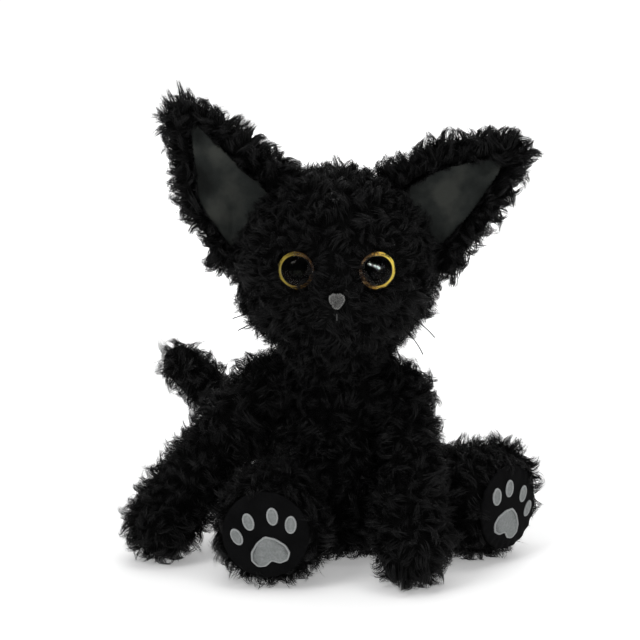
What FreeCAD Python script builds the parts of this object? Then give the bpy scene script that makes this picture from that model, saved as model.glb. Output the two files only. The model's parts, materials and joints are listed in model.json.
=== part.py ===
import FreeCAD, Part
import math
import os
import Sketcher

# A seated plush cat: fur covers over fibre stuffing, sewn at the neck, shoulders, hips, ears and tail.
# +Z is up, the face looks along -Y, and the origin is on the floor. "left" is the cat's own left (+X).

Vector = FreeCAD.Vector
Placement = FreeCAD.Placement
Rotation = FreeCAD.Rotation

SIZES = {
    # covers
    "cover_wall": 5.0,
    "fit_gap": 0.3,
    "seam_gap": 0.5,
    # torso
    "torso_x": 2.0,
    "torso_y": 2.0,
    "seat_radius": 30.0,
    "belly_radius": 42.0,
    "belly_height": 25.0,
    "neck_radius": 28.0,
    "neck_height": 107.5,
    "torso_half_width": 31.0,
    "shoulder_half_width": 22.0,
    "left_shoulder_flat": 55.0,
    "right_shoulder_flat": 44.0,
    # head
    "head_x": -1.5,
    "head_y": -10.0,
    "jaw_radius": 30.0,
    "jaw_height": 108.0,
    "cheek_radius": 50.0,
    "cheek_height": 141.0,
    "crown_radius": 10.0,
    "crown_height": 196.0,
    "muzzle_width": 38.0,
    "muzzle_depth": 34.0,
    "muzzle_height": 26.0,
    "muzzle_forward": 38.0,
    "muzzle_level": 135.0,
    # eyes: 18 mm safety eyes
    "eye_radius": 9.0,
    "eye_spread": 19.3,
    "eye_level": 151.7,
    "eye_forward": 41.5,
    "eye_turn": 18.0,
    "pupil_radius": 7.1,
    "iris_thickness": 0.6,
    "lens_height": 5.4,
    "post_radius": 2.2,
    "post_length": 13.0,
    "flange_thickness": 1.0,
    "washer_radius": 7.5,
    "washer_thickness": 1.4,
    # nose and whiskers
    "nose_half_width": 4.3,
    "nose_height": 7.4,
    "nose_thickness": 4.0,
    "nose_level": 138.5,
    "nose_forward": 51.6,
    "nose_post_radius": 1.5,
    "nose_post_length": 9.0,
    "whisker_radius": 0.25,
    # ears
    "ear_thickness": 10.0,
    "ear_half_base": 28.0,
    "ear_height": 60.0,
    "ear_tip_radius": 6.0,
    "ear_back_wall": 3.0,
    "batting_thickness": 2.6,
    "lining_thickness": 1.5,
    # forelegs
    "foreleg_root": 15.5,
    "foreleg_paw": 19.5,
    "shoulder_clip": 56.0,
    # hind legs
    "haunch_x": 4.5,
    "haunch_root": 24.0,
    "haunch_foot": 28.5,
    "left_haunch_length": 42.0,
    "right_haunch_length": 47.0,
    "left_haunch_lateral": 36.0,
    "right_haunch_lateral": 34.5,
    "haunch_forward": 4.0,
    "haunch_heading": 20.0,
    "haunch_splay": 28.0,
    "sole_depth": 16.3,
    "sole_radius": 21.0,
    "sole_thickness": 2.5,
    "print_thickness": 0.8,
    "left_print_roll": -24.0,
    "right_print_roll": 15.0,
    "toe_half_width": 2.6,
    "toe_half_length": 4.2,
    # tail
    "tail_root": 12.5,
    "tail_tip": 12.0,
    "tail_length": 91.0,
    "tail_plane": 40.0,
    # pellet bag
    "bag_radius": 22.0,
    "bag_half_height": 8.0,
    "bag_level": 14.5,
    "bag_wall": 0.8,
    # closing seam
    "stitch_radius": 0.4,
    "stitch_length": 5.0,
    "stitch_pitch": 6.0,
}

# Each soft part is built at three levels: the fur's outside, the cover's inside, and the stuffing.
LEVELS = {
    "outside": "0",
    "cavity": "sizes.cover_wall",
    "filling": "(sizes.cover_wall + sizes.fit_gap)",
}

doc = FreeCAD.newDocument("plush_cat")
sheet = doc.addObject("Spreadsheet::Sheet", "sizes")
nodes = {}


# ---------------------------------------------------------------- helpers

def fill_sheet():
    for row, (name, number) in enumerate(SIZES.items(), start=1):
        sheet.set(f"A{row}", name)
        sheet.set(f"B{row}", str(number))
        sheet.setAlias(f"B{row}", name)
    doc.recompute()


def value(expression):
    """The number that an expression of the sheet's cells gives."""
    return float(sheet.evalExpression(expression))


def bind(item, **expressions):
    for name, expression in expressions.items():
        item.setExpression(name, expression)


def keep(name, item):
    """Register a finished sub-part under its node name."""
    item.Label = name
    nodes[name] = item
    return item


def heading(degrees):
    """Unit vector on the floor plane: 0 degrees looks along -Y, positive turns towards +X."""
    angle = math.radians(degrees)
    return Vector(math.sin(angle), -math.cos(angle), 0)


def along(start, direction):
    """Placement that takes +Z to the direction, at the start point."""
    return Placement(start, Rotation(Vector(0, 0, 1), direction))


def new_sketch(body, role, offset=0.0):
    plane = next(item for item in body.Origin.OriginFeatures if item.Role == role)
    sketch = body.newObject("Sketcher::SketchObject", body.Name + "_sketch")
    sketch.AttachmentSupport = [(plane, "")]
    sketch.MapMode = "FlatFace"
    sketch.AttachmentOffset = Placement(Vector(0, 0, offset), Rotation())
    return sketch


def constrain(sketch, expression, kind, *where):
    """Add a dimension and bind it to the sheet."""
    index = sketch.addConstraint(Sketcher.Constraint(kind, *where, value(expression)))
    sketch.setExpression(f"Constraints[{index}]", expression)


def place_point(sketch, geometry, end, x, y):
    """Tie a vertex to the sketch's origin with two bound distances."""
    for kind, expression in (("DistanceX", x), ("DistanceY", y)):
        constrain(sketch, expression, kind, -1, 1, geometry, end)


def revolve(body, sketch):
    turned = body.newObject("PartDesign::Revolution", body.Name + "_turn")
    turned.Profile = sketch
    turned.ReferenceAxis = (sketch, ["V_Axis"])
    turned.Angle = 360
    sketch.Visibility = False
    return turned


def polygon_sketch(body, role, points, offset=0.0):
    """Closed outline through the points; each coordinate is an expression."""
    sketch = new_sketch(body, role, offset)
    corners = [Vector(value(x), value(y), 0) for x, y in points]
    count = len(corners)
    for index, corner in enumerate(corners):
        sketch.addGeometry(Part.LineSegment(corner, corners[(index + 1) % count]), False)
    for index in range(count):
        sketch.addConstraint(Sketcher.Constraint("Coincident", index, 2, (index + 1) % count, 1))
    for index, (x, y) in enumerate(points):
        place_point(sketch, index, 1, x, y)
    return sketch


def turned_body(name, points):
    """Solid of revolution about Z from (radius, height) expressions."""
    body = doc.addObject("PartDesign::Body", name)
    revolve(body, polygon_sketch(body, "XZ_Plane", points))
    return body


def plate_body(name, points, thickness, role="XY_Plane", offset=0.0, corner=None, corners=()):
    """Flat plate from an outline; the named corners are rounded."""
    body = doc.addObject("PartDesign::Body", name)
    sketch = polygon_sketch(body, role, points, offset)
    pad = body.newObject("PartDesign::Pad", name + "_pad")
    pad.Profile = sketch
    bind(pad, Length=thickness)
    doc.recompute()
    if corner:
        turn = sketch.Placement.Rotation
        spots = [sketch.Placement.multVec(Vector(value(points[i][0]), value(points[i][1]), 0)) for i in corners]
        across = turn.multVec(Vector(0, 0, 1))
        edges = []
        for index, edge in enumerate(pad.Shape.Edges, start=1):
            start = edge.Vertexes[0].Point
            end = edge.Vertexes[-1].Point
            upright = (end - start).cross(across).Length < 1e-6
            near = any((start - spot).cross(across).Length < 1e-4 for spot in spots)
            if upright and near:
                edges.append(f"Edge{index}")
        rounding = body.newObject("PartDesign::Fillet", name + "_corners")
        rounding.Base = (pad, edges)
        bind(rounding, Radius=corner)
    return body


def disc_body(name, radius, thickness, hole=None):
    """Round disc or ring on the XY plane."""
    body = doc.addObject("PartDesign::Body", name)
    sketch = new_sketch(body, "XY_Plane")
    for index, size in enumerate(item for item in (radius, hole) if item):
        sketch.addGeometry(Part.Circle(Vector(0, 0, 0), Vector(0, 0, 1), value(size)), False)
        sketch.addConstraint(Sketcher.Constraint("Coincident", index, 3, -1, 1))
        constrain(sketch, size, "Radius", index)
    pad = body.newObject("PartDesign::Pad", name + "_pad")
    pad.Profile = sketch
    bind(pad, Length=thickness)
    return body


def ball(name, radius, centre):
    sphere = doc.addObject("Part::Sphere", name)
    bind(sphere, Radius=radius)
    sphere.Placement = Placement(centre, Rotation())
    return sphere


def rod(name, radius, length, placement):
    cylinder = doc.addObject("Part::Cylinder", name)
    bind(cylinder, Radius=radius, Height=length)
    cylinder.Placement = placement
    return cylinder


def egg(name, across, deep, high, centre):
    """Ellipsoid with half sizes along X, Y and Z."""
    shape = doc.addObject("Part::Ellipsoid", name)
    bind(shape, Radius1=high, Radius2=across, Radius3=deep)
    shape.Placement = Placement(centre, Rotation())
    return shape


def cut(name, base, *tools):
    for index, tool in enumerate(tools):
        result = doc.addObject("Part::Cut", f"{name}_cut{index}")
        result.Base = base
        result.Tool = tool
        base = result
    return base


def fuse(name, *parts):
    result = doc.addObject("Part::MultiFuse", name)
    result.Shapes = list(parts)
    return result


def barrel(name, level, foot, foot_height, belly, belly_height, top, top_height):
    """Turned body with a flat foot and top; two arcs meet upright at the belly."""
    inset = LEVELS[level]
    foot = f"{foot} - {inset}"
    belly = f"{belly} - {inset}"
    top = f"{top} - {inset}"
    foot_height = f"{foot_height} + {inset}"
    top_height = f"{top_height} - {inset}"
    body = doc.addObject("PartDesign::Body", name)
    sketch = new_sketch(body, "XZ_Plane")
    middle = Vector(value(belly), value(belly_height), 0)

    def arc_to(end, first_is_end):
        """Arc from the end point to the belly, centred level with the belly."""
        run = end.y - middle.y
        centre_x = (middle.x ** 2 - end.x ** 2 - run ** 2) / (2 * (middle.x - end.x))
        radius = middle.x - centre_x
        angle = math.atan2(run, end.x - centre_x)
        circle = Part.Circle(Vector(centre_x, middle.y, 0), Vector(0, 0, 1), radius)
        span = (angle, 0.0) if first_is_end else (0.0, angle)
        return Part.ArcOfCircle(circle, *span)

    low = Vector(value(foot), value(foot_height), 0)
    high = Vector(value(top), value(top_height), 0)
    sketch.addGeometry(Part.LineSegment(Vector(0, low.y, 0), low), False)
    sketch.addGeometry(arc_to(low, True), False)
    sketch.addGeometry(arc_to(high, False), False)
    sketch.addGeometry(Part.LineSegment(high, Vector(0, high.y, 0)), False)
    sketch.addGeometry(Part.LineSegment(Vector(0, high.y, 0), Vector(0, low.y, 0)), False)
    joins = [(0, 2, 1, 1), (1, 2, 2, 1), (2, 2, 3, 1), (3, 2, 4, 1), (4, 2, 0, 1)]
    for join in joins:
        sketch.addConstraint(Sketcher.Constraint("Coincident", *join))
    sketch.addConstraint(Sketcher.Constraint("PointOnObject", 0, 1, -2))
    sketch.addConstraint(Sketcher.Constraint("PointOnObject", 3, 2, -2))
    sketch.addConstraint(Sketcher.Constraint("Horizontal", 0))
    sketch.addConstraint(Sketcher.Constraint("Horizontal", 3))
    place_point(sketch, 0, 2, foot, foot_height)
    place_point(sketch, 1, 2, belly, belly_height)
    place_point(sketch, 2, 2, top, top_height)
    sketch.addConstraint(Sketcher.Constraint("Horizontal", 1, 3, 1, 2))
    sketch.addConstraint(Sketcher.Constraint("Horizontal", 2, 3, 1, 2))
    revolve(body, sketch)
    return body


def limb(name, level, root_radius, tip_radius, length, placement):
    """Tapered limb with round ends: root centre at the origin, tip centre up the Z axis."""
    root_radius = f"{root_radius} - {LEVELS[level]}"
    tip_radius = f"{tip_radius} - {LEVELS[level]}"
    body = doc.addObject("PartDesign::Body", name)
    sketch = new_sketch(body, "XZ_Plane")
    root = value(root_radius)
    tip = value(tip_radius)
    reach = value(length)
    lean = math.asin((root - tip) / reach)
    side = Vector(math.cos(lean), math.sin(lean), 0)
    top = Vector(0, reach, 0)
    root_circle = Part.Circle(Vector(0, 0, 0), Vector(0, 0, 1), root)
    tip_circle = Part.Circle(top, Vector(0, 0, 1), tip)
    sketch.addGeometry(Part.ArcOfCircle(root_circle, -math.pi / 2, lean), False)
    sketch.addGeometry(Part.ArcOfCircle(tip_circle, lean, math.pi / 2), False)
    sketch.addGeometry(Part.LineSegment(side * root, top + side * tip), False)
    sketch.addGeometry(Part.LineSegment(Vector(0, reach + tip, 0), Vector(0, -root, 0)), False)
    sketch.addConstraint(Sketcher.Constraint("Coincident", 0, 3, -1, 1))
    sketch.addConstraint(Sketcher.Constraint("PointOnObject", 1, 3, -2))
    sketch.addConstraint(Sketcher.Constraint("Tangent", 0, 2, 2, 1))
    sketch.addConstraint(Sketcher.Constraint("Tangent", 2, 2, 1, 1))
    sketch.addConstraint(Sketcher.Constraint("Coincident", 1, 2, 3, 1))
    sketch.addConstraint(Sketcher.Constraint("Coincident", 3, 2, 0, 1))
    sketch.addConstraint(Sketcher.Constraint("PointOnObject", 1, 2, -2))
    sketch.addConstraint(Sketcher.Constraint("PointOnObject", 0, 1, -2))
    constrain(sketch, root_radius, "Radius", 0)
    constrain(sketch, tip_radius, "Radius", 1)
    constrain(sketch, length, "DistanceY", -1, 1, 1, 3)
    revolve(body, sketch)
    body.Placement = placement
    return body


# ---------------------------------------------------------------- where the sewn joints are

def haunch_frame(side):
    """Hip pivot on the torso's flat side, its outward axis, hip centre and foot direction."""
    turn = value("sizes.haunch_heading")
    outward = heading(turn + 90 * side)
    forward = heading(turn)
    pelvis = Vector(value("sizes.haunch_x"), 0, value("sizes.haunch_root"))
    middle = pelvis + forward * value("sizes.haunch_forward")
    pivot = middle + outward * value("sizes.torso_half_width")
    word = "left" if side > 0 else "right"
    centre = middle + outward * value(f"sizes.{word}_haunch_lateral")
    foot_level = Vector(0, 0, value("sizes.haunch_foot - sizes.haunch_root"))
    reach = value(f"sizes.{word}_haunch_length")
    direction = heading(turn + side * value("sizes.haunch_splay")) * reach + foot_level
    return pivot, outward, centre, direction


SHOULDERS = {
    1: (Vector(31, -12, 82), Vector(34.5, -70, 19.5)),
    -1: (Vector(-37, -1, 85), Vector(-88, -26, 19.5)),
}


def shoulder_frame(side):
    """Shoulder pivot on the torso's flat side, its outward axis, shoulder centre and paw centre."""
    centre, paw = SHOULDERS[side]
    pivot = Vector(side * value("sizes.shoulder_half_width"), centre.y, centre.z)
    return pivot, Vector(side, 0, 0), centre, paw


def tail_frame():
    """Tail pivot on the flat at the torso's back, its outward axis, root centre and direction."""
    outward = heading(value("sizes.haunch_heading") + 180)
    pivot = Vector(-1, 1, 22) + outward * value("sizes.tail_plane")
    centre = pivot + outward * 8.5
    direction = Vector(-66, 31, 55)
    direction.normalize()
    return pivot, outward, centre, direction


def torso_side_tool(name, level, pivot, outward, radius):
    """Takes the torso away outside a joint plane, within a radius of the joint's axis."""
    shift = value(f"-sizes.seam_gap / 2 - {LEVELS[level]}")
    place = along(pivot + outward * shift, outward)
    return rod(name, f"{radius} + {LEVELS[level]}", "80", place)


def limb_side_tool(name, level, pivot, outward, radius):
    """Takes a limb away on the torso's side of its joint plane."""
    shift = value(f"sizes.seam_gap / 2 + {LEVELS[level]}")
    place = along(pivot + outward * shift, outward * -1)
    return rod(name, f"{radius} + {LEVELS[level]}", "80", place)


# ---------------------------------------------------------------- torso

def torso_solid(level):
    name = f"torso_{level}"
    body = barrel(
        name, level,
        "sizes.seat_radius", "0",
        "sizes.belly_radius", "sizes.belly_height",
        "sizes.neck_radius", "sizes.neck_height",
    )
    body.Placement = Placement(Vector(value("sizes.torso_x"), value("sizes.torso_y"), 0), Rotation())
    tools = []
    for side, word in ((1, "left"), (-1, "right")):
        pivot, outward = haunch_frame(side)[:2]
        tools.append(torso_side_tool(f"{name}_{word}_hip", level, pivot, outward, "52"))
        pivot, outward = shoulder_frame(side)[:2]
        clip = f"sizes.{word}_shoulder_flat"
        tools.append(torso_side_tool(f"{name}_{word}_shoulder", level, pivot, outward, clip))
    pivot, outward = tail_frame()[:2]
    tools.append(torso_side_tool(f"{name}_tail", level, pivot, outward, "22"))
    return cut(name, body, *tools)


def pellet_bag_solid(name, shrink):
    half = f"sizes.bag_radius + {shrink}"
    centre = Vector(value("sizes.torso_x"), value("sizes.torso_y"), value("sizes.bag_level"))
    return egg(name, half, half, f"sizes.bag_half_height + {shrink}", centre)


def build_torso():
    outside = torso_solid("outside")
    keep("torso_fur_cover", cut("torso_cover", outside, torso_solid("cavity")))
    pocket = pellet_bag_solid("bag_pocket", "sizes.fit_gap")
    keep("torso_stuffing", cut("torso_fill", torso_solid("filling"), pocket))
    hollow = pellet_bag_solid("bag_hollow", "-sizes.bag_wall")
    keep("pellet_bag", cut("bag", pellet_bag_solid("bag_outside", "0"), hollow))
    keep("pellet_fill", pellet_bag_solid("pellets", "-sizes.bag_wall - sizes.fit_gap"))


def build_closing_seam():
    """Ladder stitches across the closed filling slit on the torso's back."""
    back = Vector(value("sizes.torso_x"), value("sizes.torso_y"), 0)
    radius = value("sizes.stitch_radius")
    half = value("sizes.stitch_length") / 2
    middle = value("sizes.belly_height")
    belly = value("sizes.belly_radius")
    neck = value("sizes.neck_radius")
    run = value("sizes.neck_height") - middle
    centre_x = (belly ** 2 - neck ** 2 - run ** 2) / (2 * (belly - neck))
    stitches = []
    for index in range(7):
        level = 56 + index * value("sizes.stitch_pitch")
        reach = centre_x + math.sqrt((belly - centre_x) ** 2 - (level - middle) ** 2)
        spot = back + Vector(-half, reach + radius + 0.1, level)
        place = along(spot, Vector(1, 0, 0))
        stitches.append(rod(f"stitch{index}", "sizes.stitch_radius", "sizes.stitch_length", place))
    seam = doc.addObject("Part::Compound", "stitches")
    seam.Links = stitches
    keep("closing_seam_stitches", seam)


# ---------------------------------------------------------------- head

def head_centre(height=0.0):
    return Vector(value("sizes.head_x"), value("sizes.head_y"), height)


def eye_place(side):
    """Frame on the fur backing under an eye, its Z axis looking out of the eye."""
    outward = heading(side * value("sizes.eye_turn"))
    forward = value("sizes.eye_forward")
    spot = head_centre(value("sizes.eye_level")) + Vector(side * value("sizes.eye_spread"), -forward, 0)
    return along(spot, outward)


def nose_place():
    forward = value("sizes.nose_forward")
    place = Placement(head_centre(value("sizes.nose_level")) + Vector(0, -forward, 0), Rotation())
    return place.multiply(Placement(Vector(0, 0, 0), Rotation(Vector(1, 0, 0), 90)))


def shifted(place, height):
    return place.multiply(Placement(Vector(0, 0, height), Rotation()))


def head_solid(level):
    name = f"head_{level}"
    skull = barrel(
        f"{name}_skull", level,
        "sizes.jaw_radius", "sizes.jaw_height",
        "sizes.cheek_radius", "sizes.cheek_height",
        "sizes.crown_radius", "sizes.crown_height",
    )
    skull.Placement = Placement(head_centre(), Rotation())
    inset = LEVELS[level]
    muzzle = egg(
        f"{name}_muzzle",
        f"sizes.muzzle_width / 2 - {inset}",
        f"sizes.muzzle_depth / 2 - {inset}",
        f"sizes.muzzle_height / 2 - {inset}",
        head_centre(value("sizes.muzzle_level")) + Vector(0, -value("sizes.muzzle_forward"), 0),
    )
    return fuse(name, skull, muzzle)


def build_head():
    cover_tools = [head_solid("cavity")]
    fill_tools = []
    for side, word in ((1, "left"), (-1, "right")):
        place = eye_place(side)
        below = -value("sizes.flange_thickness")
        hole = "sizes.post_radius + sizes.fit_gap"
        seat = "sizes.eye_radius + sizes.fit_gap"
        room = "sizes.washer_radius + sizes.fit_gap"
        cover_tools.append(rod(f"{word}_eye_seat", seat, "20", shifted(place, below - 0.1)))
        cover_tools.append(rod(f"{word}_eye_hole", hole, "20", shifted(place, -18)))
        fill_tools.append(rod(f"{word}_washer_room", room, "20", shifted(place, -20)))
        fill_tools.append(rod(f"{word}_flange_room", seat, "20", shifted(place, below - 0.3)))
    place = nose_place()
    seat = "sizes.nose_half_width + 1"
    cover_tools.append(rod("nose_seat", seat, "12", shifted(place, -0.1)))
    cover_tools.append(rod("nose_hole", "sizes.nose_post_radius + sizes.fit_gap", "12", shifted(place, -9)))
    cover_tools.append(rod("nose_washer_seat", "5 + sizes.fit_gap", "8", shifted(place, -14)))
    for side, word in ((1, "left"), (-1, "right")):
        cover_tools.append(ear_hem(side, f"{word}_ear_groove", "sizes.ear_thickness / 2 + sizes.fit_gap", 3))
    fill_tools.append(rod("nose_washer_room", "5 + sizes.fit_gap", "16", shifted(place, -14)))
    keep("head_fur_cover", cut("head_cover", head_solid("outside"), *cover_tools))
    keep("head_stuffing", cut("head_fill", head_solid("filling"), *fill_tools))


def build_eye(side, word):
    """Clear dome over an amber ring and a black pupil, on a post that the lock washer grips."""
    place = eye_place(side)
    lens_height = value("sizes.lens_height")
    dome_radius = "(sizes.eye_radius ^ 2 + sizes.lens_height ^ 2) / (2 * sizes.lens_height)"
    iris_top = value("sizes.iris_thickness") + 0.02
    dome = ball(f"{word}_dome", dome_radius, Vector(0, 0, 0))
    dome.Placement = shifted(place, iris_top + lens_height - value(dome_radius))
    blank = rod(f"{word}_dome_blank", "sizes.eye_radius", "sizes.lens_height", shifted(place, iris_top))
    lens = doc.addObject("Part::Common", f"{word}_lens")
    lens.Base = dome
    lens.Tool = blank
    keep(f"{word}_eye_dome", lens)
    iris = disc_body(f"{word}_iris", "sizes.eye_radius", "sizes.iris_thickness", "sizes.pupil_radius")
    iris.Placement = place
    keep(f"{word}_eye_iris", iris)
    pupil = disc_body(f"{word}_pupil", "sizes.pupil_radius - 0.02", "sizes.iris_thickness")
    pupil.Placement = place
    keep(f"{word}_eye_pupil", pupil)
    flange = "sizes.flange_thickness"
    post = turned_body(f"{word}_post", [
        ("0", "-0.02"),
        ("sizes.eye_radius", "-0.02"),
        ("sizes.eye_radius", f"-{flange}"),
        ("sizes.post_radius", f"-{flange}"),
        ("sizes.post_radius", "-sizes.post_length + 1.5"),
        ("sizes.post_radius - 1", "-sizes.post_length"),
        ("0", "-sizes.post_length"),
    ])
    post.Placement = place
    keep(f"{word}_eye_post", post)
    washer = disc_body(
        f"{word}_washer", "sizes.washer_radius", "sizes.washer_thickness", "sizes.post_radius + 0.05")
    washer.Placement = shifted(place, -8.2)
    keep(f"{word}_eye_lock_washer", washer)


def build_nose():
    """Flocked nose: a rounded triangle, point down, moulded with its post."""
    place = nose_place()
    half = "sizes.nose_half_width"
    tall = "sizes.nose_height"
    pad = plate_body(
        "nose_pad",
        [(f"-{half}", f"{tall} * 0.45"), ("0", f"-{tall} * 0.55"), (half, f"{tall} * 0.45")],
        "sizes.nose_thickness", corner="1.6", corners=(0, 1, 2),
    )
    pad.Placement = place
    post = rod("nose_post", "sizes.nose_post_radius", "sizes.nose_post_length + 0.5",
               shifted(place, -value("sizes.nose_post_length")))
    keep("nose", fuse("nose_fused", pad, post))
    washer = disc_body("nose_washer", "5", "1.2", "sizes.nose_post_radius + 0.05")
    washer.Placement = shifted(place, -7.5)
    keep("nose_lock_washer", washer)


def build_mouth_stitch():
    """One short upright thread under the nose."""
    top = head_centre(value("sizes.nose_level")) + Vector(0, -55.8, -5.2)
    keep("mouth_stitch", rod("mouth", "0.35", "3.2", along(top, Vector(0, 0.12, -1))))


# start, middle and end of each whisker
WHISKERS = {
    "left": [
        (Vector(12, -60, 137), Vector(31, -64, 133), Vector(45, -66, 122)),
        (Vector(12, -60, 134), Vector(29, -64, 127), Vector(39.5, -65, 113.5)),
        (Vector(11, -60.8, 131), Vector(24, -64, 121), Vector(29, -64, 109)),
    ],
    "right": [
        (Vector(-15, -60, 138), Vector(-33, -64, 136), Vector(-51, -65, 131)),
        (Vector(-15, -60, 135), Vector(-32, -64, 132), Vector(-48.5, -64, 125)),
        (Vector(-14, -60.8, 132), Vector(-24, -64, 128), Vector(-34, -64, 121)),
    ],
}


def build_whiskers(word):
    """Three curved filaments in one node, each swept along an arc."""
    radius = value("sizes.whisker_radius")
    threads = []
    for start, middle, end in WHISKERS[word]:
        arc = Part.Arc(start, middle, end)
        path = Part.Wire([arc.toShape()])
        section = Part.Wire([Part.Circle(start, arc.tangent(arc.FirstParameter)[0], radius).toShape()])
        threads.append(path.makePipeShell([section], True, False))
    group = doc.addObject("Part::Feature", f"{word}_whisker_group")
    group.Shape = Part.makeCompound(threads)
    keep(f"{word}_whiskers", group)


# ---------------------------------------------------------------- ears

EAR_BASES = {1: (Vector(44.5, -4, 171.5), 57.5, 4.0), -1: (Vector(-45.5, -4, 175.5), -53.1, 18.0)}


def ear_outline(side, lean, inset=0.0):
    """Outline from the outer bottom corner round the tip; x grows towards the head's middle."""
    tall = "sizes.ear_height"
    base = "sizes.ear_half_base"
    points = [
        (f"-{base} + {inset}", "0"),
        (f"-{base} + 8 + {inset}", f"{tall} * 0.44"),
        (f"{lean - 7.5} + {inset} * 0.5", f"{tall} - {inset} * 1.3"),
        (f"{lean + 7.5} - {inset} * 0.7", f"{tall} - 1 - {inset} * 1.3"),
        (f"{base} + 2 - {inset} * 1.5", f"{tall} * 0.36"),
        (f"{base} + 2 - {inset} * 1.5", "0"),
    ]
    if side > 0:
        points = [(f"-({x})", y) for x, y in points]
    return points


def ear_place(side):
    spot, roll = EAR_BASES[side][:2]
    return Placement(spot, Rotation(Vector(0, 1, 0), roll))


def ear_hem(side, name, radius, extra=0):
    """Round bar along an ear's seam with the head, longer at both ends by the extra length."""
    start = Vector(value("-sizes.ear_half_base - 1") - side - extra, 0, 0)
    length = f"2 * sizes.ear_half_base + 2 + 2 * {extra}"
    return rod(name, radius, length, ear_place(side).multiply(along(start, Vector(1, 0, 0))))


def build_ear(side, word):
    """Fur back with a turned-over rim; batting and velour lining lie in its front."""
    lean = EAR_BASES[side][2]
    place = ear_place(side)
    thick = "sizes.ear_thickness"
    back = value(f"-{thick} / 2")
    corners = (1, 2, 3, 4)
    outline = ear_outline(side, lean)
    plate = plate_body(f"{word}_ear_plate", outline, thick, "XZ_Plane", back, "sizes.ear_tip_radius", corners)
    plate.Placement = place
    hem = ear_hem(side, f"{word}_ear_hem", f"{thick} / 2")
    gap = "sizes.fit_gap"
    layers = [
        ("recess", f"{thick}", value("sizes.ear_back_wall"), 0.0),
        ("batting", "sizes.batting_thickness", value(f"sizes.ear_back_wall + {gap}"), 0.5),
        ("lining", "sizes.lining_thickness",
         value(f"sizes.ear_back_wall + 2 * {gap} + sizes.batting_thickness"), 0.5),
    ]
    made = {}
    for layer, thickness, start, shrink in layers:
        points = ear_outline(side, lean, 9.5 + shrink)
        points[0] = (points[0][0], str(3 + shrink))
        points[-1] = (points[-1][0], str(3 + shrink))
        item = plate_body(f"{word}_ear_{layer}_plate", points, thickness, "XZ_Plane",
                          back + start, "1.2", (2, 3))
        item.Placement = place
        made[layer] = item
    shell = fuse(f"{word}_ear_shell", plate, hem)
    keep(f"{word}_ear_fur_cover", cut(f"{word}_ear", shell, made["recess"]))
    keep(f"{word}_ear_batting", made["batting"])
    keep(f"{word}_ear_lining", made["lining"])


# ---------------------------------------------------------------- legs and tail

def build_foreleg(side, word):
    pivot, outward, centre, paw = shoulder_frame(side)
    place = along(centre, paw - centre)
    reach = str((paw - centre).Length)
    made = {}
    for level in LEVELS:
        body = limb(f"{word}_foreleg_{level}", level, "sizes.foreleg_root", "sizes.foreleg_paw", reach, place)
        tool = limb_side_tool(
            f"{word}_foreleg_{level}_side", level, pivot, outward, "sizes.shoulder_clip")
        made[level] = cut(f"{word}_foreleg_{level}", body, tool)
    cover = cut(f"{word}_foreleg_cover", made["outside"], made["cavity"])
    keep(f"{word}_foreleg_fur_cover", cover)
    keep(f"{word}_foreleg_stuffing", made["filling"])


def heart_points():
    """Main pad outline, point up: two lobes below, joined by a small notch."""
    return [
        ("0", "7.4"), ("4.6", "5.2"), ("8.6", "0.9"), ("9.6", "-3.2"), ("7.4", "-6.7"), ("3.4", "-7.2"),
        ("0", "-5"),
        ("-3.4", "-7.2"), ("-7.4", "-6.7"), ("-9.6", "-3.2"), ("-8.6", "0.9"), ("-4.6", "5.2"),
    ]


def build_foot_print(word, sole_place):
    """Embroidered prints on the sole: four toe ovals over one heart-shaped pad."""
    roll = Rotation(Vector(0, 0, 1), value(f"sizes.{word}_print_roll"))
    face = shifted(sole_place, value("sizes.sole_thickness") + 0.05)
    face = face.multiply(Placement(Vector(0, 0, 0), roll))
    toes = []
    for index, (x, y, fan) in enumerate([(-13.5, 2.5, 14), (-6, 8.5, 5), (6, 8.5, -5), (13.5, 2.5, -14)]):
        oval = doc.addObject("Part::Ellipse", f"{word}_toe_outline{index}")
        bind(oval, MajorRadius="sizes.toe_half_length", MinorRadius="sizes.toe_half_width")
        turn = Rotation(Vector(0, 0, 1), 90 + fan)
        oval.Placement = face.multiply(Placement(Vector(x, y, 0), turn))
        toe = doc.addObject("Part::Extrusion", f"{word}_toe{index}")
        toe.Base = oval
        toe.DirMode = "Custom"
        toe.Dir = face.Rotation.multVec(Vector(0, 0, 1))
        toe.Solid = True
        bind(toe, LengthFwd="sizes.print_thickness")
        toes.append(toe)
    group = doc.addObject("Part::Compound", f"{word}_toes")
    group.Links = toes
    keep(f"{word}_sole_toe_prints", group)
    pad = plate_body(f"{word}_pad", heart_points(), "sizes.print_thickness")
    pad.Placement = face.multiply(Placement(Vector(0, -7.5, 0), Rotation()))
    keep(f"{word}_sole_pad_print", pad)


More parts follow.
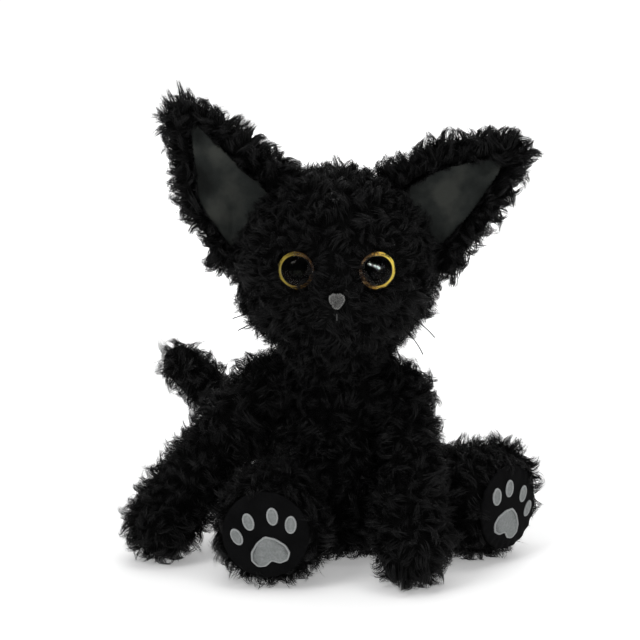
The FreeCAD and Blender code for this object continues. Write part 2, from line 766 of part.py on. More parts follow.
def build_hindleg(side, word):
    pivot, outward, centre, direction = haunch_frame(side)
    reach = str(direction.Length)
    place = along(centre, direction)
    forward = Vector(direction.x, direction.y, 0)
    forward.normalize()
    up = Vector(0, 0, 1)
    across = up.cross(forward)
    foot = centre + direction
    sole_turn = Rotation(across, up, forward, "ZYX")
    sole_spot = foot + forward * value("sizes.sole_depth")
    made = {}
    for level in LEVELS:
        body = limb(f"{word}_hindleg_{level}", level, "sizes.haunch_root", "sizes.haunch_foot", reach, place)
        side_tool = limb_side_tool(f"{word}_hindleg_{level}_side", level, pivot, outward, "70")
        sole_tool = rod(f"{word}_hindleg_{level}_sole", "40", "30",
                        along(sole_spot - forward * value(LEVELS[level]), forward))
        made[level] = cut(f"{word}_hindleg_{level}", body, side_tool, sole_tool)
    cover = cut(f"{word}_hindleg_cover", made["outside"], made["cavity"])
    keep(f"{word}_hindleg_fur_cover", cover)
    keep(f"{word}_hindleg_stuffing", made["filling"])
    sole_place = Placement(sole_spot + forward * 0.05, sole_turn)
    sole = disc_body(f"{word}_sole_disc", "sizes.sole_radius", "sizes.sole_thickness")
    sole.Placement = sole_place
    keep(f"{word}_sole", sole)
    build_foot_print(word, sole_place)


def build_tail():
    pivot, outward, centre, direction = tail_frame()
    place = along(centre, direction)
    made = {}
    for level in LEVELS:
        body = limb(f"tail_{level}", level, "sizes.tail_root", "sizes.tail_tip", "sizes.tail_length", place)
        tool = limb_side_tool(f"tail_{level}_side", level, pivot, outward, "60")
        made[level] = cut(f"tail_{level}", body, tool)
    keep("tail_fur_cover", cut("tail_cover", made["outside"], made["cavity"]))
    keep("tail_stuffing", made["filling"])


# ---------------------------------------------------------------- build, check and write

def check():
    doc.recompute()
    failed = [item.Name for item in doc.Objects if "Invalid" in item.State or "Error" in item.State]
    if failed:
        raise RuntimeError(f"objects failed: {failed}")
    for name, item in nodes.items():
        if item.Shape.isNull() or not item.Shape.isValid():
            raise RuntimeError(f"bad shape: {name}")
        if not item.Shape.Solids:
            raise RuntimeError(f"no solid: {name}")


def write():
    os.makedirs("parts", exist_ok=True)
    for name, item in nodes.items():
        item.Shape.exportStep(os.path.join("parts", f"{name}.step"))


fill_sheet()
build_torso()
build_closing_seam()
build_head()
build_nose()
build_mouth_stitch()
for ear_side, ear_word in ((1, "left"), (-1, "right")):
    build_eye(ear_side, ear_word)
    build_whiskers(ear_word)
    build_ear(ear_side, ear_word)
    build_foreleg(ear_side, ear_word)
    build_hindleg(ear_side, ear_word)
build_tail()
check()
write()
for node_name, node in nodes.items():
    box = node.Shape.BoundBox
    print(f"{node_name}: {len(node.Shape.Solids)} solid(s), {node.Shape.Volume:.0f} mm3, "
          f"x {box.XMin:.1f}..{box.XMax:.1f}, y {box.YMin:.1f}..{box.YMax:.1f}, z {box.ZMin:.1f}..{box.ZMax:.1f}")
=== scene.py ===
import json
import math

import bmesh
import bpy
import numpy as np
from mathutils import Matrix, Vector
from mathutils.kdtree import KDTree


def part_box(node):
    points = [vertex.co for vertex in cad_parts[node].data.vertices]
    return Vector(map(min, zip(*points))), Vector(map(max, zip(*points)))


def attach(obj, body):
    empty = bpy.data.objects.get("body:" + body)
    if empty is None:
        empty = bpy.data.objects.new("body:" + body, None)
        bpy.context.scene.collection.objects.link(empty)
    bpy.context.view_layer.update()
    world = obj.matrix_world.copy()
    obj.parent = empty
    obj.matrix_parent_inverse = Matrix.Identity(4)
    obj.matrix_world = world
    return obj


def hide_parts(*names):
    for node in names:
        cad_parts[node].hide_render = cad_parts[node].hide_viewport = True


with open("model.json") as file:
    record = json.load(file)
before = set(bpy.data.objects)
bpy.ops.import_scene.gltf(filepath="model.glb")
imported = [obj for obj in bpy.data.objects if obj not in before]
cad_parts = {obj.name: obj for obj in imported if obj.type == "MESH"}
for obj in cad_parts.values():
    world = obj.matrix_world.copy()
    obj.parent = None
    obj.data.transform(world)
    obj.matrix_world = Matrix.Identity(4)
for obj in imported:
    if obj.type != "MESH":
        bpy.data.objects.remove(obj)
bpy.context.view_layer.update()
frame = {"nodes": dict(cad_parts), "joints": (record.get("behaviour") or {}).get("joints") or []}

MM = 0.001
SIDES = ("left", "right")
NODES = frame["nodes"]
JOINTS = {joint["name"]: joint for joint in frame["joints"]}
UP = np.array([0.0, 0.0, 1.0])

# pile
STRAND_STEPS = 4
STRANDS_PER_PIECE = 24000
PILE_LENGTH = 9.2 * MM
PILE_WIDTH = 0.24 * MM
PILE_DENSITY = 1.35e6
LOCK_SPACING = 4.2 * MM
FLOOR_CLEARANCE = 0.5 * MM


# ---------------- mesh helpers

def link(obj):
    bpy.context.scene.collection.objects.link(obj)
    return obj


def joint_point(name):
    return Vector(JOINTS[name]["pos_m"])


def joint_axis(name):
    return Vector(JOINTS[name]["axis"]).normalized()


def mesh_arrays(obj):
    """Vertex places and triangles of a mesh object as arrays."""
    mesh = obj.data
    mesh.calc_loop_triangles()
    points = np.empty(len(mesh.vertices) * 3)
    mesh.vertices.foreach_get("co", points)
    faces = np.empty(len(mesh.loop_triangles) * 3, dtype=np.int64)
    mesh.loop_triangles.foreach_get("vertices", faces)
    return points.reshape(-1, 3), faces.reshape(-1, 3)


def set_points(obj, points):
    obj.data.vertices.foreach_set("co", np.asarray(points, dtype=np.float32).ravel())
    obj.data.update()


def quad_mesh(name, points, quads):
    """A mesh object from arrays of places and of four-cornered faces."""
    mesh = bpy.data.meshes.new(name)
    mesh.vertices.add(len(points))
    mesh.vertices.foreach_set("co", np.asarray(points, dtype=np.float32).ravel())
    mesh.loops.add(len(quads) * 4)
    mesh.loops.foreach_set("vertex_index", np.asarray(quads, dtype=np.int32).ravel())
    mesh.polygons.add(len(quads))
    mesh.polygons.foreach_set("loop_start", np.arange(len(quads), dtype=np.int32) * 4)
    mesh.polygons.foreach_set("use_smooth", np.full(len(quads), True))
    mesh.update(calc_edges=True)
    return link(bpy.data.objects.new(name, mesh))


def apply_modifiers(obj):
    graph = bpy.context.evaluated_depsgraph_get()
    mesh = bpy.data.meshes.new_from_object(obj.evaluated_get(graph))
    obj.modifiers.clear()
    obj.data = mesh
    return obj


def smooth_faces(obj):
    obj.data.polygons.foreach_set("use_smooth", np.full(len(obj.data.polygons), True))
    return obj


def vertex_normals(points, faces):
    corners = points[faces]
    across = np.cross(corners[:, 1] - corners[:, 0], corners[:, 2] - corners[:, 0])
    normals = np.zeros_like(points)
    for index in range(3):
        np.add.at(normals, faces[:, index], across)
    return unit(normals)


def unit(vectors):
    return vectors / np.maximum(np.linalg.norm(vectors, axis=-1, keepdims=True), 1e-12)


def waves(points, scale, seed):
    """Smooth pseudo-random height between -1 and 1, from a few crossed sine waves."""
    rng = np.random.default_rng(seed)
    total = np.zeros(len(points))
    for _ in range(6):
        direction = unit(rng.normal(size=3)) * rng.uniform(0.6, 1.5) * 2 * math.pi / scale
        total += np.sin(points @ direction + rng.uniform(0, 2 * math.pi))
    return total / 3.0


# ---------------- materials

def new_material(name):
    material = bpy.data.materials.new(name)
    material.use_nodes = True
    nodes = material.node_tree.nodes
    return material, nodes, material.node_tree.links, nodes["Principled BSDF"]


def grey(level, tint=(1.0, 1.0, 1.0)):
    return (level * tint[0], level * tint[1], level * tint[2], 1.0)


def tones(low, high, tint=(1.0, 1.0, 1.0)):
    """Two stops for a soft change of grey."""
    return [(0.3, grey(low, tint)), (0.7, grey(high, tint))]


def set_inputs(node, values):
    for name, value in values.items():
        node.inputs[name].default_value = value


def noise_node(nodes, links, place, scale, detail=2.0):
    noise = nodes.new("ShaderNodeTexNoise")
    set_inputs(noise, {"Scale": scale, "Detail": detail})
    links.new(place.outputs["Object"], noise.inputs["Vector"])
    return noise


def ramp_node(nodes, stops):
    ramp = nodes.new("ShaderNodeValToRGB")
    elements = ramp.color_ramp.elements
    while len(elements) < len(stops):
        elements.new(0.5)
    for element, (position, colour) in zip(elements, stops):
        element.position = position
        element.color = colour
    return ramp


def surface_material(name, stops, scale, roughness, sheen=0.0, grain=0.0, grain_scale=900.0, shine=0.5):
    """Colour that varies between the stops by soft noise, with a fine raised grain."""
    material, nodes, links, shader = new_material(name)
    place = nodes.new("ShaderNodeTexCoord")
    noise = noise_node(nodes, links, place, scale, 5.0)
    ramp = ramp_node(nodes, stops)
    links.new(noise.outputs["Fac"], ramp.inputs["Fac"])
    links.new(ramp.outputs["Color"], shader.inputs["Base Color"])
    set_inputs(shader, {"Roughness": roughness, "Sheen Weight": sheen, "Sheen Roughness": 0.4,
                        "Sheen Tint": grey(0.5), "Specular IOR Level": shine})
    if grain:
        fine = noise_node(nodes, links, place, grain_scale, 3.0)
        bump = nodes.new("ShaderNodeBump")
        set_inputs(bump, {"Strength": grain, "Distance": 0.3 * MM})
        links.new(fine.outputs["Fac"], bump.inputs["Height"])
        links.new(bump.outputs["Normal"], shader.inputs["Normal"])
    return material


def fur_material(name, root, tip, tint=(1.0, 1.0, 1.06), sheen=0.015, shine=0.15):
    """Pile: dark at the root, lighter to the tip, each strand a little different."""
    material, nodes, links, shader = new_material(name)
    strand = nodes.new("ShaderNodeUVMap")
    strand.uv_map = "strand"
    split = nodes.new("ShaderNodeSeparateXYZ")
    links.new(strand.outputs["UV"], split.inputs["Vector"])
    ramp = ramp_node(nodes, [(0.0, grey(root, tint)), (0.55, grey((root + tip) / 2.4, tint)),
                             (1.0, grey(tip, tint))])
    links.new(split.outputs["Y"], ramp.inputs["Fac"])
    tone = ramp_node(nodes, [(0.0, grey(0.55)), (0.8, grey(1.0)), (1.0, grey(1.7))])
    links.new(split.outputs["X"], tone.inputs["Fac"])
    mix = nodes.new("ShaderNodeMix")
    mix.data_type = "RGBA"
    mix.blend_type = "MULTIPLY"
    mix.inputs["Factor"].default_value = 1.0
    links.new(ramp.outputs["Color"], mix.inputs["A"])
    links.new(tone.outputs["Color"], mix.inputs["B"])
    links.new(mix.outputs["Result"], shader.inputs["Base Color"])
    set_inputs(shader, {"Roughness": 0.42, "Specular IOR Level": shine, "Sheen Weight": sheen,
                        "Sheen Roughness": 0.35, "Sheen Tint": grey(0.6)})
    return material


def math_node(nodes, operation, *values):
    node = nodes.new("ShaderNodeMath")
    node.operation = operation
    for index, amount in enumerate(values, start=1):
        node.inputs[index].default_value = amount
    return node


def clear_material(side):
    """Clear acrylic; its normal is that of the true ball, so the dome shines without facets."""
    material, nodes, links, shader = new_material(f"{side}_clear_acrylic")
    place = nodes.new("ShaderNodeTexCoord")
    centre, axis = EYES[SIDES.index(side)]
    offset = nodes.new("ShaderNodeVectorMath")
    offset.operation = "SUBTRACT"
    offset.inputs[1].default_value = centre - axis * (DOME_RADIUS - DOME_HEIGHT)
    links.new(place.outputs["Object"], offset.inputs[0])
    turn = nodes.new("ShaderNodeVectorTransform")
    turn.vector_type = "NORMAL"
    turn.convert_from = "OBJECT"
    turn.convert_to = "WORLD"
    links.new(offset.outputs["Vector"], turn.inputs["Vector"])
    geometry = nodes.new("ShaderNodeNewGeometry")
    sign = math_node(nodes, "MULTIPLY_ADD", -2.0, 1.0)
    links.new(geometry.outputs["Backfacing"], sign.inputs[0])
    facing = nodes.new("ShaderNodeVectorMath")
    facing.operation = "SCALE"
    links.new(turn.outputs["Vector"], facing.inputs[0])
    links.new(sign.outputs["Value"], facing.inputs["Scale"])
    depth = nodes.new("ShaderNodeVectorMath")
    depth.operation = "DOT_PRODUCT"
    depth.inputs[1].default_value = axis
    links.new(offset.outputs["Vector"], depth.inputs[0])
    curved = math_node(nodes, "GREATER_THAN", DOME_RADIUS - DOME_HEIGHT + 0.1 * MM)
    links.new(depth.outputs["Value"], curved.inputs[0])
    choose = nodes.new("ShaderNodeMix")
    choose.data_type = "VECTOR"
    links.new(curved.outputs["Value"], choose.inputs["Factor"])
    links.new(geometry.outputs["Normal"], choose.inputs[4])
    links.new(facing.outputs["Vector"], choose.inputs[5])
    links.new(choose.outputs[1], shader.inputs["Normal"])
    haze = noise_node(nodes, links, place, 260.0)
    tone = ramp_node(nodes, tones(0.96, 1.0))
    links.new(haze.outputs["Fac"], tone.inputs["Fac"])
    links.new(tone.outputs["Color"], shader.inputs["Base Color"])
    set_inputs(shader, {"Roughness": 0.01, "IOR": 1.12, "Transmission Weight": 1.0})
    return material


def iris_material(side):
    """Amber ring: brown towards the nose, bright yellow on the outer side, with fine streaks; the brightening
    towards the outer side is painted light.
    """
    material, nodes, links, shader = new_material(f"{side}_amber_iris")
    low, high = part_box(f"{side}_eye_iris")
    inner, outer = (low[0], high[0]) if side == "left" else (high[0], low[0])
    place = nodes.new("ShaderNodeTexCoord")
    split = nodes.new("ShaderNodeSeparateXYZ")
    links.new(place.outputs["Object"], split.inputs["Vector"])
    # painted light: a ramp across the eye from the nose side outwards makes the ring's outer side look lit
    spread = nodes.new("ShaderNodeMapRange")
    set_inputs(spread, {"From Min": inner, "From Max": outer})
    links.new(split.outputs["X"], spread.inputs["Value"])
    noise = noise_node(nodes, links, place, 420.0, 4.0)
    mix = math_node(nodes, "MULTIPLY_ADD", 0.35)
    links.new(noise.outputs["Fac"], mix.inputs[0])
    links.new(spread.outputs["Result"], mix.inputs[2])
    stops = [(0.25, (0.06, 0.028, 0.010, 1)), (0.6, (0.20, 0.11, 0.018, 1)), (1.0, (0.56, 0.42, 0.065, 1))]
    ramp = ramp_node(nodes, stops)
    links.new(mix.outputs["Value"], ramp.inputs["Fac"])
    links.new(ramp.outputs["Color"], shader.inputs["Base Color"])
    set_inputs(shader, {"Roughness": 0.4, "Specular IOR Level": 0.1})
    return material


def make_materials():
    green_grey = (0.92, 1.05, 0.98)
    cool = (0.94, 1.0, 1.0)
    paler_cool = (0.96, 1.0, 1.0)
    cotton = (1, 0.97, 0.9)
    return {
        "fur": fur_material("black_pile", 0.0009, 0.0066),
        "flock": fur_material("nose_flock_pile", 0.17, 0.50, (1.0, 1.0, 0.97), 0.1),
        "skin": surface_material("black_knit_backing", tones(0.001, 0.0025), 300, 0.9, 0.0, 0.6, shine=0.05),
        "lining": surface_material(
            "ear_velour",
            [(0.36, grey(0.009, green_grey)), (0.5, grey(0.020, green_grey)),
             (0.64, grey(0.042, (0.97, 1.03, 0.92)))],
            48, 0.85, 0.06, 0.7, 1500, 0.15),
        "sole": surface_material(
            "sole_velour", tones(0.0018, 0.0040, (1, 1, 1.08)), 90, 0.85, 0.0, 0.6, 1800, 0.05),
        "print": surface_material(
            "print_thread",
            [(0.2, grey(0.16, cool)), (0.5, grey(0.22, (0.94, 1.0, 0.99))), (0.8, grey(0.30, paler_cool))],
            900, 0.5, 0.2),
        "border": surface_material(
            "print_border_thread",
            [(0.2, grey(0.27, paler_cool)), (0.8, grey(0.38, (0.97, 1.0, 1.0)))], 1200, 0.4, 0.1),
        "whisker": surface_material("whisker_nylon", tones(0.0008, 0.002), 120, 0.4, shine=0.06),
        "black_plastic": surface_material("black_plastic", tones(0.004, 0.007), 200, 0.25),
        "pupil": surface_material("pupil_black", tones(0.0015, 0.0025), 200, 0.5, shine=0.0),
        "white_plastic": surface_material("washer_plastic", tones(0.62, 0.72), 160, 0.45),
        "thread": surface_material("black_thread", tones(0.012, 0.03), 900, 0.6, 0.2, 0.8, 3000),
        "mouth": surface_material("mouth_thread", tones(0.008, 0.02), 900, 0.6, 0.2, 0.8, 3000),
        "bag": surface_material("bag_cotton", tones(0.5, 0.66, cotton), 260, 0.9, 0.1, 0.8, 1400),
        "pellets": surface_material("pellets", tones(0.55, 0.8), 450, 0.4, 0.0, 1.0, 380),
        "left_iris": iris_material("left"),
        "right_iris": iris_material("right"),
    }


def dress(obj, material):
    obj.data.materials.clear()
    obj.data.materials.append(material)
    return obj


def dress_node(node, material):
    dress(NODES[node], material)


# ---------------- soft skins

def inflate(obj, pressure=4.0, frames=20, cap=2.0 * MM):
    """Blow the skin up like stuffed cloth, with a limit on how far a point may move."""
    rest, _ = mesh_arrays(obj)
    cloth = obj.modifiers.new("stuffing", "CLOTH")
    cloth.settings.quality = 5
    cloth.settings.mass = 0.15
    cloth.settings.tension_stiffness = 18
    cloth.settings.compression_stiffness = 18
    cloth.settings.shear_stiffness = 8
    cloth.settings.bending_stiffness = 0.6
    cloth.settings.use_pressure = True
    cloth.settings.uniform_pressure_force = pressure
    cloth.settings.effector_weights.gravity = 0
    cloth.point_cache.frame_start = 1
    cloth.point_cache.frame_end = frames
    scene = bpy.context.scene
    for number in range(1, frames + 1):
        scene.frame_set(number)
    graph = bpy.context.evaluated_depsgraph_get()
    blown = bpy.data.meshes.new_from_object(obj.evaluated_get(graph))
    moved = np.empty(len(blown.vertices) * 3)
    blown.vertices.foreach_get("co", moved)
    shift = moved.reshape(-1, 3) - rest
    size = np.linalg.norm(shift, axis=1, keepdims=True)
    shift *= np.minimum(1.0, cap / np.maximum(size, 1e-9))
    obj.modifiers.clear()
    bpy.data.meshes.remove(blown)
    scene.frame_set(1)
    set_points(obj, rest + shift)


def soft_skin(name, nodes, balls=(), grow=3.3 * MM, lumps=0.9 * MM, seed=1, voxel=3.4 * MM, relax=6,
              carve=None):
    """A sewn, stuffed skin over the CAD fillings; the balls carry it across the sewn joints."""
    work = bmesh.new()
    for node in nodes:
        work.from_mesh(NODES[node].data)
    for centre, radius in balls:
        bmesh.ops.create_icosphere(work, subdivisions=3, radius=radius, matrix=Matrix.Translation(centre))
    mesh = bpy.data.meshes.new(name)
    work.to_mesh(mesh)
    work.free()
    obj = link(bpy.data.objects.new(name, mesh))
    remesh = obj.modifiers.new("remesh", "REMESH")
    remesh.mode = "VOXEL"
    remesh.voxel_size = voxel
    settle = obj.modifiers.new("settle", "SMOOTH")
    settle.factor = 0.5
    settle.iterations = relax
    apply_modifiers(obj)
    points, faces = mesh_arrays(obj)
    normals = vertex_normals(points, faces)
    height = grow + lumps * waves(points, 34 * MM, seed)
    set_points(obj, points + normals * height[:, None])
    inflate(obj)
    finer = obj.modifiers.new("finer", "SUBSURF")
    finer.levels = 1
    finer.render_levels = 1
    apply_modifiers(obj)
    points, _ = mesh_arrays(obj)
    if carve is not None:
        points = carve(points)
    points[:, 2] = np.maximum(points[:, 2], FLOOR_CLEARANCE)
    set_points(obj, points)
    smooth_faces(obj)
    return obj


# ---------------- pile

def scatter(points, faces, normals, density, rng, keep=None):
    """Random places on the surface with their normals."""
    corners = points[faces]
    across = np.cross(corners[:, 1] - corners[:, 0], corners[:, 2] - corners[:, 0])
    areas = np.linalg.norm(across, axis=1) / 2
    count = int(areas.sum() * density)
    chosen = rng.choice(len(faces), size=count, p=areas / areas.sum())
    first = rng.random(count)
    second = rng.random(count)
    over = first + second > 1
    first[over] = 1 - first[over]
    second[over] = 1 - second[over]
    weights = np.stack([1 - first - second, first, second], axis=1)
    places = np.einsum("ij,ijk->ik", weights, corners[chosen])
    directions = unit(np.einsum("ij,ijk->ik", weights, normals[faces[chosen]]))
    if keep is not None:
        wanted = keep(places, directions)
        places = places[wanted]
        directions = directions[wanted]
    return places, directions


def turn_about(vectors, axes, angles):
    """Each vector turned about its own axis."""
    cos = np.cos(angles)[:, None]
    sin = np.sin(angles)[:, None]
    dot = np.sum(vectors * axes, axis=1, keepdims=True)
    return vectors * cos + np.cross(axes, vectors) * sin + axes * dot * (1 - cos)


def lock_curves(places, normals, flow, length, curl, rng):
    """Centre line of each lock of pile: it leaves the skin, leans with the flow and curls over."""
    count = len(places)
    sideways = unit(np.cross(normals, rng.normal(size=(count, 3))))
    direction = unit(normals * 0.95 + flow + sideways * rng.uniform(0.1, 0.75, (count, 1)))
    axis = unit(np.cross(normals, rng.normal(size=(count, 3))) + 0.35 * normals * rng.normal(size=(count, 1)))
    total = rng.uniform(0.5, 1.0, count) * curl
    curve = [np.zeros((count, 3))]
    for _ in range(STRAND_STEPS):
        curve.append(curve[-1] + direction * (length / STRAND_STEPS)[:, None])
        direction = turn_about(direction, axis, total / STRAND_STEPS)
    return np.stack(curve, axis=1)


def default_flow(places, normals):
    """Pile lies a little downwards."""
    down = -UP + normals * normals[:, 2:3]
    return 0.35 * down


def grow_pile(name, skin, body, material, flow=default_flow, length=None, keep=None, shape=None,
              density=PILE_DENSITY, spacing=LOCK_SPACING, width=PILE_WIDTH, curl=3.2, seed=7, pull=0.62,
              stray=1.25):
    """Curly pile on a skin, as tapered strands gathered into locks."""
    rng = np.random.default_rng(seed)
    points, faces = mesh_arrays(skin)
    normals = vertex_normals(points, faces)
    lock_places, lock_normals = scatter(points, faces, normals, 1 / spacing ** 2, rng, keep)
    base = PILE_LENGTH * np.ones(len(lock_places)) if length is None else length(lock_places, lock_normals)
    lock_length = base * rng.uniform(0.72, 1.18, len(lock_places))
    curves = lock_curves(lock_places, lock_normals, flow(lock_places, lock_normals), lock_length, curl, rng)
    tree = KDTree(len(lock_places))
    for index, place in enumerate(lock_places):
        tree.insert(place, index)
    tree.balance()
    roots, root_normals = scatter(points, faces, normals, density, rng, keep)
    owner = np.array([tree.find(place)[1] for place in roots])
    steps = np.linspace(0, 1, STRAND_STEPS + 1)
    strands = roots[:, None, :] + curves[owner] * rng.uniform(0.7, 1.08, (len(roots), 1, 1))
    gather = lock_places[owner] - roots
    strands += gather[:, None, :] * (pull * steps[None, :, None] ** 1.3)
    drift = rng.normal(size=(len(roots), 3)) * np.where(rng.random((len(roots), 1)) < 0.10, 1.3, 0.40) * MM
    strands += drift[:, None, :] * stray * steps[None, :, None] ** 1.5
    if shape is not None:
        strands = shape(strands)
    strands[:, :, 2] = np.maximum(strands[:, :, 2], FLOOR_CLEARANCE)
    pieces = []
    for part, start in enumerate(range(0, len(roots), STRANDS_PER_PIECE)):
        chunk = slice(start, start + STRANDS_PER_PIECE)
        piece = strand_mesh(f"{name}_{part + 1}", strands[chunk], root_normals[chunk], width, rng)
        dress(piece, material)
        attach(piece, body)
        pieces.append(piece)
    return pieces


def strand_mesh(name, strands, normals, width, rng):
    """Flat tapered ribbons along the strands."""
    count, rings = strands.shape[:2]
    tangent = unit(np.gradient(strands, axis=1))
    side = np.cross(tangent, normals[:, None, :] + 0.6 * rng.normal(size=(count, 1, 3)))
    side = unit(side)
    along = np.linspace(0, 1, rings)
    taper = (1 - along ** 2.2) * 0.92 + 0.08
    half = width / 2 * taper[None, :, None] * rng.uniform(0.75, 1.2, (count, 1, 1))
    left = strands - side * half
    right = strands + side * half
    points = np.stack([left, right], axis=2).reshape(-1, 3)
    base = (np.arange(count) * rings * 2)[:, None] + (np.arange(rings - 1) * 2)[None, :]
    base = base.reshape(-1)
    quads = np.stack([base, base + 1, base + 3, base + 2], axis=1)
    obj = quad_mesh(name, points, quads)
    tone = np.repeat(rng.random(count), (rings - 1) * 4)
    strand_along = np.stack([along[:-1], along[:-1], along[1:], along[1:]], axis=1).reshape(-1)
    corner_along = np.tile(strand_along, count)
    strand_uv = obj.data.uv_layers.new(name="strand")
    strand_uv.data.foreach_set("uv", np.stack([tone, corner_along], axis=1).astype(np.float32).ravel())
    columns = int(math.ceil(math.sqrt(count)))
    cell = 1.0 / columns
    column = np.repeat(np.arange(count) % columns, (rings - 1) * 4)
    row = np.repeat(np.arange(count) // columns, (rings - 1) * 4)
    across = np.tile(np.array([0.2, 0.8, 0.8, 0.2]), count * (rings - 1))
    bake_uv = obj.data.uv_layers.new(name="OFBake")
    places = np.stack([(column + across) * cell, (row + 0.1 + 0.8 * corner_along) * cell], axis=1)
    bake_uv.data.foreach_set("uv", places.astype(np.float32).ravel())
    return obj


# ---------------- landmarks read from the design

def node_points(node):
    obj = NODES[node]
    points, faces = mesh_arrays(obj)
    world = np.array(obj.matrix_world)
    return points @ world[:3, :3].T + world[:3, 3], faces


class Plate:
    """Frame of a flat part: its middle, its outward normal, and the directions across and up its face."""

    def __init__(self, node, up):
        points, _ = node_points(node)
        self.middle = (points.min(axis=0) + points.max(axis=0)) / 2
        spread = points - points.mean(axis=0)
        _, _, axes = np.linalg.svd(spread, full_matrices=False)
        normal = axes[2]
        self.normal = normal if normal[1] < 0 else -normal
        self.up = unit(np.asarray(up) - self.normal * np.dot(up, self.normal))
        self.across = np.cross(self.up, self.normal)
        depth = (points - self.middle) @ self.normal
        self.front = depth.max()

    def flat(self, points):
        offset = points - self.middle
        return np.stack([offset @ self.across, offset @ self.up, offset @ self.normal - self.front], axis=-1)

    def solid(self, flat):
        flat = np.asarray(flat)
        return (self.middle + flat[..., 0:1] * self.across + flat[..., 1:2] * self.up
                + (flat[..., 2:3] + self.front) * self.normal)


def front_outlines(node, plate):
    """Closed outlines of the faces of a node that look along the plate's normal, in the plate's frame."""
    points, faces = node_points(node)
    work = bmesh.new()
    corners = [work.verts.new(point) for point in points]
    for face in faces:
        try:
            work.faces.new([corners[index] for index in face])
        except ValueError:
            continue
    bmesh.ops.remove_doubles(work, verts=work.verts, dist=0.01 * MM)
    work.normal_update()
    normal = Vector(plate.normal)
    front = {face for face in work.faces if face.normal.dot(normal) > 0.9}
    follow = {}
    for edge in work.edges:
        near = [face for face in edge.link_faces if face in front]
        if len(near) == 1:
            first, second = edge.verts
            for loop in near[0].loops:
                if loop.edge == edge:
                    first = loop.vert
                    second = edge.other_vert(first)
            follow[first] = second
    outlines = []
    while follow:
        start = next(iter(follow))
        chain = [start]
        step = follow.pop(start)
        while step in follow:
            chain.append(step)
            step = follow.pop(step)
        outlines.append(plate.flat(np.array([list(vert.co) for vert in chain]))[:, :2])
    work.free()
    return [outline for outline in outlines if len(outline) > 5]


def evenly(outline, spacing):
    """Points at an even spacing along a closed outline."""
    closed = np.vstack([outline, outline[:1]])
    reach = np.concatenate([[0], np.cumsum(np.linalg.norm(np.diff(closed, axis=0), axis=1))])
    count = max(12, int(reach[-1] / spacing))
    wanted = np.linspace(0, reach[-1], count, endpoint=False)
    return np.stack([np.interp(wanted, reach, closed[:, axis]) for axis in (0, 1)], axis=1)


def rounded(outline, times):
    """The outline with its corners eased."""
    for _ in range(times):
        outline = (np.roll(outline, 1, axis=0) + 2 * outline + np.roll(outline, -1, axis=0)) / 4
    return outline


def inside(outline, points):
    """True where the points lie inside the closed outline."""
    result = np.zeros(len(points), dtype=bool)
    for first, second in zip(outline, np.roll(outline, -1, axis=0)):
        crosses = (first[1] > points[:, 1]) != (second[1] > points[:, 1])
        rise = second[1] - first[1] if second[1] != first[1] else 1e-12
        at = first[0] + (points[:, 1] - first[1]) / rise * (second[0] - first[0])
        result ^= crosses & (points[:, 0] < at)
    return result


def outline_distance(outline, points):
    """Distance from each point to the outline, given as evenly spaced points."""
    return np.min(np.linalg.norm(points[:, None, :] - outline[None, :, :], axis=2), axis=1)


def node_centre(node):
    low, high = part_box(node)
    return (Vector(low) + Vector(high)) / 2


def eye_frames():
    """Centre and outward axis of each eye, from the lock washer behind it to its dome."""
    frames = []
    for side in SIDES:
        base = node_centre(f"{side}_eye_pupil")
        axis = (base - node_centre(f"{side}_eye_lock_washer")).normalized()
        frames.append((np.array(base), np.array(axis)))
    return frames


EYES = eye_frames()
NOSE = np.array(node_centre("nose"))
NOSE[1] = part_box("nose")[0][1] + 4.5 * MM
EYE_RADIUS = 9.0 * MM
DOME_HEIGHT = 5.4 * MM
DOME_RADIUS = (EYE_RADIUS ** 2 + DOME_HEIGHT ** 2) / (2 * DOME_HEIGHT)


def eye_distance(places):
    """How far each place is from the nearer eye's axis."""
    best = np.full(places.shape[:-1], 1.0)
    for centre, axis in EYES:
        offset = places - centre
        side = offset - np.sum(offset * axis, axis=-1, keepdims=True) * axis
        distance = np.linalg.norm(side, axis=-1)
        in_front = places[..., 1] < centre[1] + 12 * MM
        best = np.where(in_front, np.minimum(best, distance), best)
    return best


def clear_eyes(strands):
    """Push pile off the eyes, so that it only just overlaps their rims."""
    for centre, axis in EYES:
        offset = strands - centre
        depth = np.sum(offset * axis, axis=-1, keepdims=True)
        side = offset - depth * axis
        distance = np.linalg.norm(side, axis=-1, keepdims=True)
        to_nose = unit(NOSE - centre)
        facing = np.sum(side * to_nose, axis=-1, keepdims=True) / np.maximum(distance, 1e-6)
        room = EYE_RADIUS - 0.9 * MM - 2.6 * MM * np.clip(facing - 0.55, 0, 0.4) / 0.4
        near = (distance < room) & (depth > -6 * MM) & (depth < 30 * MM)
        strands = np.where(near, strands + side / np.maximum(distance, 1e-6) * (room - distance), strands)
        reach = np.minimum(np.maximum(distance, room), DOME_RADIUS * 0.99)
        dome = np.sqrt(DOME_RADIUS ** 2 - reach ** 2) - (DOME_RADIUS - DOME_HEIGHT) + 0.7 * MM
        over = (distance < EYE_RADIUS) & (depth > -3 * MM) & (depth < dome)
        strands = np.where(over, strands + (dome - depth) * axis, strands)
    offset = strands - NOSE
    flat = offset * np.array([1.0, 0.0, 1.15])
    distance = np.linalg.norm(flat, axis=-1, keepdims=True)
    room = 3.6 * MM
    near = (distance < room) & (offset[..., 1:2] < 2 * MM) & (offset[..., 1:2] > -20 * MM)
    return np.where(near, strands + flat / np.maximum(distance, 1e-6) * (room - distance), strands)


